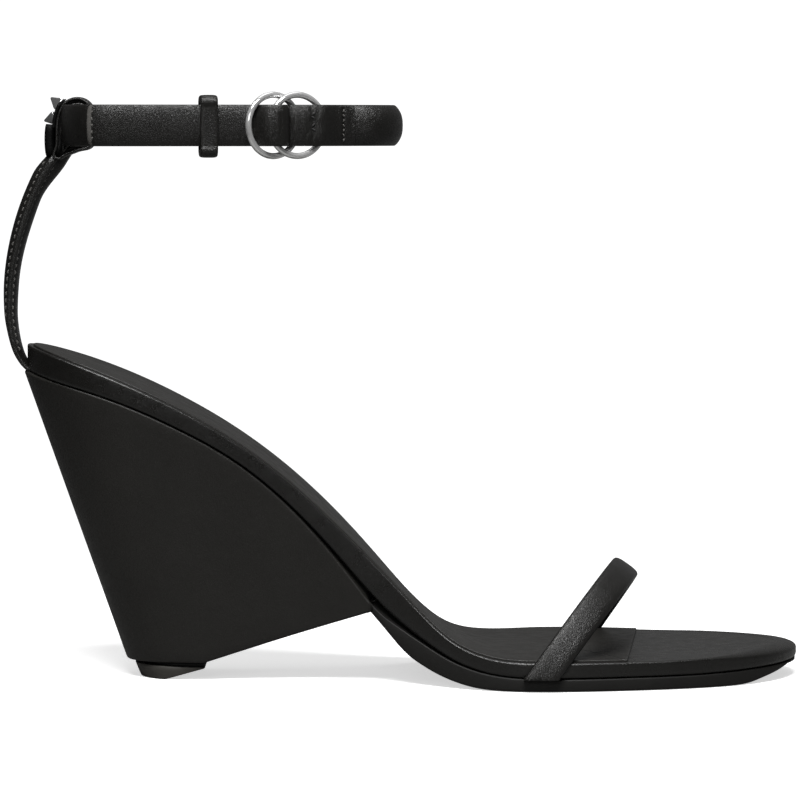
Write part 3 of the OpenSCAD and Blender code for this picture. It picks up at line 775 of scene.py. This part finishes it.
def studs():
    """Two pyramid studs with softened edges."""
    half, skirt, high = 1.9, 0.7, 3.1
    square = [(-half, -half), (half, -half), (half, half), (-half, half)]
    verts = [(x, y, z) for z in (0, skirt) for x, y in square] + [(0, 0, skirt + high)]
    faces = [(3, 2, 1, 0), (0, 1, 5, 4), (1, 2, 6, 5), (2, 3, 7, 6), (3, 0, 4, 7),
             (4, 5, 8), (5, 6, 8), (6, 7, 8), (7, 4, 8)]
    made = []
    places = (("stud_lower_cap", (-99.35, 0, 161.6), -105), ("stud_upper_cap", (-98.0, 0, 165.3), -52))
    for name, at, turn in places:
        m = np.array(Matrix.Rotation(math.radians(turn), 3, "Y"))
        made.append(bevelled(make(name, np.array(verts) @ m.T + at, faces, STUD), 0.3, 4, 20))
    return made


# ------------------------------------------------------------------ ankle strap
# Seen from above it is a loop: a round corner (REAR) on each side of a wide bow at the heel (BACK), and a front
# (FRONT). u counts along the outer side from START, and v counts outwards from it.
TURN_DEG = 9
TURN = math.radians(TURN_DEG)
REAR_R, BACK_R, FRONT_R = 12.0, 34.0, 13.0
REAR = np.array([-82.0, 12.0])
BACK_ANGLE = math.degrees(math.asin(REAR[1] / (BACK_R - REAR_R)))
BACK = np.array([REAR[0] + (BACK_R - REAR_R) * math.cos(math.radians(BACK_ANGLE)), 0])
ALONG = np.array([math.cos(TURN), math.sin(TURN)])
OUT = np.array([math.sin(TURN), -math.cos(TURN)])
NEAR_REAR = np.array([REAR[0], -REAR[1]])
START = NEAR_REAR + REAR_R * OUT
STEP = 5.4
FRONT_Y = (-12.5 * OUT[0] + FRONT_R + STEP - START @ OUT) / math.cos(TURN)
FRONT = np.array([-12.5, FRONT_Y])
FAR = FRONT - REAR
FAR_ANGLE = math.degrees(math.atan2(FAR[1], FAR[0]) + math.acos((REAR_R - FRONT_R) / np.linalg.norm(FAR)))
STRAP_Z, STRAP_W, STRAP_T = 159.4, 11.8, 1.6
END_R = 1.6  # how far the strap's two ends are rounded
TAIL_V = 1.1  # how far the tail's middle stands off the band
RING_U, RING_R, WIRE_R = 52.3, 8.7, 0.9
FOLD_L, FOLD_R, FOLD_R_IN = (RING_U - 6.4, 1.65), (RING_U - 1.9, -3.55), 1.85
FLAP = spline([[FOLD_R[0], -1.7], [54.3, -1.85], [57.3, -2.05], [59.7, -2.7], [61.5, -3.75], [63.5, -4.85],
               [65.9, -5.38], [69, -5.4]])(np.linspace(0, 1, 400))
TACK_U, ROW_U, END_U = 56.3, 65.4, 68.8  # the tacks, the sewn row and the end of the flap


def side_at(u, v):
    return START + np.multiply.outer(u, ALONG) + np.multiply.outer(v, OUT)


def tail_height(u):
    """How far the tail's middle stands off the outer side: over the ring, then down on to the strap."""
    return TAIL_V + 3.0 * ramp(u, RING_U - 14.0, RING_U - 8.6)


def flap_height(u):
    """The inner face of the turned-back front end: over one ring, down past the other, and on to the strap."""
    return np.interp(u, FLAP[:, 0], FLAP[:, 1])


def rounded_end(s, r):
    """How much a rounded corner of radius r takes off, at a distance s from the end."""
    s = np.clip(s, 0, r)
    return r - np.sqrt(np.maximum(r * r - (r - s) ** 2, 0))


def ankle_band():
    """The whole ankle strap as one strip.

    It is the tail, the fold round one ring, the heel, the far side, the front, the fold round the other ring
    and the flap.
    """
    m = STRAP_T / 2
    us, ws = np.linspace(0, FOLD_L[0], 170)[1:-1], np.linspace(FOLD_R[0], END_U, 120)[1:]
    pieces = [
        ("tail", arc(NEAR_REAR, REAR_R + TAIL_V, 242, 279, 50)),
        ("tail", START + us[:, None] * ALONG + tail_height(us)[:, None] * OUT),
        ("left", arc(side_at(*FOLD_L), FOLD_L[1] + m, TURN_DEG - 90, TURN_DEG + 90, 40)),
        ("band", arc(NEAR_REAR, REAR_R - m, TURN_DEG - 90, BACK_ANGLE - 180, 40)),
        ("rear", arc(BACK, BACK_R - m, 180 + BACK_ANGLE, 180 - BACK_ANGLE, 60)[1:]),
        ("band", arc(REAR, REAR_R - m, 180 - BACK_ANGLE, FAR_ANGLE, 40)[1:]),
        ("front", arc(FRONT, FRONT_R - m, FAR_ANGLE, TURN_DEG - 90, 90)),
        ("right", arc(side_at(*FOLD_R), FOLD_R_IN + m, TURN_DEG + 90, TURN_DEG + 270, 40)),
        ("flap", START + ws[:, None] * ALONG + (flap_height(ws) + m)[:, None] * OUT),
    ]
    points = np.vstack([q for _, q in pieces])
    labels = [n for n, q in pieces for _ in range(len(q))]
    length = np.concatenate([[0], np.cumsum(np.linalg.norm(np.diff(points, axis=0), axis=1))])
    # which side puffs out, and where the front is cupped
    puffed = {"tail": -1, "flap": -1, "left": 0, "right": 0}
    face = np.array([puffed.get(n, 1) for n in labels], float)
    cup = np.convolve(np.array([n == "front" for n in labels], float), np.ones(25) / 25, "same")
    total = length[-1]
    ends = END_R * (1 - np.cos(np.linspace(0, math.pi / 2, 14)))
    s = np.concatenate([ends[:-1], np.linspace(END_R, total - END_R, 900), (total - ends[::-1])[1:]])
    path = np.column_stack([np.interp(s, length, points[:, 0]), np.interp(s, length, points[:, 1]),
                            np.full(len(s), STRAP_Z)])
    face, cup = np.interp(s, length, face), np.interp(s, length, cup)
    n = -np.cross(unit(np.gradient(path, axis=0)), (0, 0, 1.0))
    # it is a little narrower where it goes through the heel strap's loop
    narrow = np.exp(-((path[:, 1] / 4.8) ** 8)) * (path[:, 0] < -80)
    rings, a = [], turns(52)
    c, q = (np.sign(k) * np.abs(k) ** (2 / 3.0) for k in (np.cos(a), np.sin(a)))
    for i in range(len(s)):
        near, far = s[i], total - s[i]
        w = STRAP_W - 2 * rounded_end(near, END_R) - 2 * rounded_end(far, 1.0)
        w *= 1 - 0.19 * narrow[i]
        t = STRAP_T - 1.2 * (rounded_end(near, 0.8) / 0.8) - 1.1 * float(ramp(-far, -5.0, 0.0))
        z = w / 2 * c
        v = t / 2 * q
        puff = 0.34 * (1 - np.abs(2 * z / w) ** 2.2) * np.abs(q)
        v = v + np.where(q > 0, max(face[i], 0) * puff, -max(-face[i], 0) * puff)
        if far < 5:
            v = v + (STRAP_T - t) / 2 * 0.9
        v = v - cup[i] * 1.5 * np.abs(2 * z / w) ** 2.6
        ring3 = path[i] + v[:, None] * n[i] + np.column_stack([np.zeros((len(z), 2)), z])
        if far < 24:
            # the flap is pulled in where it is tacked down between the rings
            u = (ring3[:, :2] - START) @ ALONG
            r = np.hypot((u - TACK_U) / 1.5, z / 4.2)
            angle = np.arctan2(z / 2.2, u - TACK_U)
            pull = 0.5 * np.exp(-(r**2)) + 0.09 * np.cos(7 * angle) * np.exp(-((r - 1.1) ** 2) / 0.5)
            sewn = 0.28 * np.exp(-(((u - ROW_U) / 0.55) ** 2)) * (np.abs(z) < 4.9)
            ring3[:, :2] -= ((pull + sewn) * (q < 0))[:, None] * OUT
        rings.append(ring3)
    obj = make("ankle_band", *tube(rings), BLACK)
    obj.data.materials.append(EDGE_AND_HIGHLIGHT)
    # the tail's cut end and the rounded bend just before it, at the outermost layer at the back of the near
    # side: lighter as a raw cut edge, and as a painted highlight on the bend
    for polygon in obj.data.polygons:
        q = np.array(polygon.center[:2]) * 1000 - NEAR_REAR
        turn = math.degrees(math.atan2(q[1], q[0])) % 360
        if REAR_R + 0.45 < np.hypot(*q) < REAR_R + 4 and 236 < turn < 248.7:
            polygon.material_index = 1
    return obj


def strap_stitches(name, look, tack):
    """Rows of thread across the band: at the tail's end and where the flap is sewn down, or the dark tacks."""
    parts = []
    out3, z = np.array([*OUT, 0.0]), np.array([0, 0, 1.0])

    def row(at, out, zs, tilt, long, r):
        for k, h in enumerate(zs):
            c = np.array([at[0], at[1], STRAP_Z + h])
            half = z * long / 2 + np.cross(z, out) * (tilt * (-1) ** k)
            parts.append(stitch(c + half, c - half, out, r, 0.14))

    if tack:
        high = float(flap_height(TACK_U)) + STRAP_T + 0.02
        row(START + TACK_U * ALONG + high * OUT, out3, [3.4, 2.2, 0.2, -1.2], 0.5, 0.9, 0.2)
    else:
        angle = math.radians(250)
        o = np.array([math.cos(angle), math.sin(angle), 0])
        c = NEAR_REAR + (REAR_R + TAIL_V + STRAP_T / 2 + 0.28) * o[:2]
        row(c, o, np.arange(-3.7, 4.0, 1.85), 0.1, 0.95, 0.22)
        high = float(flap_height(ROW_U)) + STRAP_T + 0.08
        row(START + ROW_U * ALONG + high * OUT, out3, np.linspace(-4.15, 4.15, 7), 0.14, 0.8, 0.2)
    return joined(name, parts, look)


def keeper():
    """The closed leather loop that holds the tail, thicker above and below the strap than in front of it."""
    middle, w, high, r = 0.2, 2.8, 7.75, 1.5
    corners = []
    for sx, sz, a in ((1, 1, 0), (-1, 1, 90), (-1, -1, 180), (1, -1, 270)):
        corners.append(arc((middle + sx * (w - r), sz * (high - r)), r, a, a + 90, 10))
    loop = even(np.vstack(corners), 180, True)
    at = side_at(26.05, loop[:, 0])
    path = np.column_stack([at, STRAP_Z - 0.25 + loop[:, 1]])
    along3 = np.tile((*ALONG, 0.0), (len(path), 1))
    sections = [rounded(5.0, 1.3 + 1.0 * float(ramp(abs(z), 5.4, 7.2)), 4.2, 0.16, 36) for v, z in loop]
    return make("keeper_loop", *tube(sweep(path, along3, sections, closed=True), close_path=True), BLACK)


def ring(name, tilt, u, v):
    """A round wire ring that stands across the strap."""
    c = np.array([u, v]) + RING_R * np.array([-math.cos(math.radians(tilt)), math.sin(math.radians(tilt))])
    at = START + c[0] * ALONG + c[1] * OUT
    a = TURN + math.radians(tilt)
    k = turns(144)
    path = np.column_stack([at[0] + RING_R * np.cos(k) * math.cos(a), at[1] + RING_R * np.cos(k) * math.sin(a),
                            STRAP_Z + RING_R * np.sin(k)])
    j = turns(32)
    wire = np.column_stack([WIRE_R * np.cos(j), WIRE_R * np.sin(j)])
    rings = sweep(path, path - (at[0], at[1], STRAP_Z), wire, closed=True)
    return make(name, *tube(rings, close_path=True), CHROME)


# ------------------------------------------------------------------ build and place
def place(obj, body, slot, *replaced):
    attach(obj, body)
    if replaced:
        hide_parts(*replaced)
    return obj


place(footbed(), "sole", "rim_leather", "footbed_cover", "footbed_foam", "insole_board")
place(sock(), "sole", "sock_leather", "sock_lining")
place(outsole(), "sole", "outsole_rubber", "outsole")
place(wedge(), "sole", "wedge_leather", "wedge_cover", "wedge_core")
place(lift(), "sole", "lift_rubber", "top_lift")
place(plate(), "sole", "plate_plastic", "lift_plate")
toe = place(toe_strap(), "sole", "strap_leather", "toe_strap_cover", "toe_strap_padding", "toe_strap_tabs")
heel = heel_strap()
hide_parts("heel_strap_outer", "heel_strap_core", "heel_strap_lining", "heel_strap_anchor")
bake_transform(heel)
sewn = heel_stitches()
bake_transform(sewn)
plies, shade_filler = heel_loop()
place(plies, "heel_strap", "strap_leather", "heel_loop")
place(shade_filler, "heel_strap", "tab_leather")
place(heel_tab(), "heel_strap", "tab_leather", "heel_tab")
low_stud, high_stud = studs()
place(low_stud, "heel_strap", "bright_metal", "stud_lower")
place(high_stud, "heel_strap", "bright_metal", "stud_upper")
place(ankle_band(), "ankle", "strap_leather", "ankle_strap", "strap_tail", "ring_flap")
place(strap_stitches("ankle_strap_thread", THREAD, False), "ankle", "strap_leather")
place(strap_stitches("ankle_strap_tack", DARK_THREAD, True), "ankle", "strap_leather")
place(keeper(), "keeper", "strap_leather", "keeper")
place(ring("ring_outer_wire", 29, RING_U, -4.2), "ring_outer", "bright_metal", "ring_outer")
place(ring("ring_inner_wire", 21, RING_U + 7.5, -4.2), "ring_inner", "bright_metal", "ring_inner")
for name in ("lift_pins", "wedge_screws", "shank", "shank_rivets"):
    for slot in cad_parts[name].material_slots:
        slot.material = STEEL

# ------------------------------------------------------------------ floor, light and camera
FLOOR_R, FLOOR_SIDES = 1500, 96
FOCAL_PX, PICTURE_PX, SENSOR = 3898, 800, 36
PITCH, DISTANCE = math.radians(4.03), 1.130

# the camera sees a pale floor that glows a little, and other rays meet a darker one that throws less light back
floor_mat, tree, bsdf, coords = nodes_of("floor")
shade = noise(tree, coords, 3, 2)
pale = mixed(tree, spread(tree, shade, 0, 1), (0.9, 0.9, 0.9), (0.92, 0.92, 0.92))
bounce = tree.nodes.new("ShaderNodeMix")
bounce.data_type = "RGBA"
seen_floor = tree.nodes.new("ShaderNodeLightPath").outputs["Is Camera Ray"]
tree.links.new(seen_floor, bounce.inputs["Factor"])
bounce.inputs["A"].default_value = (0.24, 0.24, 0.235, 1)
tree.links.new(pale, bounce.inputs["B"])
tree.links.new(bounce.outputs["Result"], bsdf.inputs["Base Color"])
bsdf.inputs["Roughness"].default_value = 0.6
bsdf.inputs["Specular IOR Level"].default_value = 0.1
bsdf.inputs["Emission Color"].default_value = (1, 1, 1, 1)
tree.links.new(spread(tree, seen_floor, 0, 0.6, 0, 1), bsdf.inputs["Emission Strength"])
# it fades out away from the sandal
reach = tree.nodes.new("ShaderNodeVectorMath")
reach.operation = "LENGTH"
tree.links.new(coords, reach.inputs[0])
tree.links.new(spread(tree, reach.outputs["Value"], 1, 0, 0.14, 0.42), bsdf.inputs["Alpha"])
a = turns(FLOOR_SIDES)
ground = make("floor", np.column_stack([FLOOR_R * np.cos(a), FLOOR_R * np.sin(a), np.full(FLOOR_SIDES, -0.05)]),
              [tuple(range(FLOOR_SIDES))], floor_mat, smooth=False)

# white behind the sandal, as the camera sees it; for other rays a dim room, lighter at the back and the right
world = bpy.context.scene.world or bpy.data.worlds.new("world")
bpy.context.scene.world = world
world.use_nodes = True
tree = world.node_tree
back = next(n for n in tree.nodes if n.type == "BACKGROUND")
facing = tree.nodes.new("ShaderNodeSeparateXYZ")
tree.links.new(tree.nodes.new("ShaderNodeTexCoord").outputs["Generated"], facing.inputs[0])
room = spread(tree, facing.outputs["Y"], 0.08, 0.21, -0.5, 0.8)
seen = tree.nodes.new("ShaderNodeMix")
tree.links.new(tree.nodes.new("ShaderNodeLightPath").outputs["Is Camera Ray"], seen.inputs["Factor"])
darker = tree.nodes.new("ShaderNodeMath")
darker.operation = "MULTIPLY"
tree.links.new(room, darker.inputs[0])
tree.links.new(spread(tree, facing.outputs["X"], 0.25, 1, -0.8, 0.3), darker.inputs[1])
tree.links.new(darker.outputs["Value"], seen.inputs["A"])
seen.inputs["B"].default_value = 1.1
tree.links.new(seen.outputs["Result"], back.inputs["Strength"])
back.inputs["Color"].default_value = (1, 1, 1, 1)
bpy.context.scene.view_settings.view_transform = "Standard"


def softbox(name, at, aim, size, power):
    data = bpy.data.lights.new(name, "AREA")
    data.shape, data.size, data.size_y, data.energy = "RECTANGLE", size[0], size[1], power
    obj = bpy.data.objects.new(name, data)
    obj.location = at
    obj.rotation_mode = "QUATERNION"
    obj.rotation_quaternion = (Vector(aim) - Vector(at)).to_track_quat("-Z", "Y")
    bpy.context.scene.collection.objects.link(obj)


softbox("key", (-0.06, -0.6, 1.1), (0, 0, 0.06), (0.6, 0.32), 19)
softbox("low", (-0.16, -0.95, 0.5), (0.03, 0, 0.05), (0.42, 0.3), 1.5)
softbox("top", (0.15, 0.2, 1.45), (0, 0, 0.06), (1.0, 0.9), 3)

cam_data = bpy.data.cameras.new("camera")
cam_data.sensor_width, cam_data.lens = SENSOR, FOCAL_PX / PICTURE_PX * SENSOR
cam_data.clip_start, cam_data.clip_end = 0.05, 60
cam = bpy.data.objects.new("camera", cam_data)
cam.location = Vector((0, 0, 0.080)) - Vector((0, math.cos(PITCH), -math.sin(PITCH))) * DISTANCE
cam.rotation_euler = (math.pi / 2 - PITCH, 0, 0)
bpy.context.scene.collection.objects.link(cam)
bpy.context.scene.camera = cam
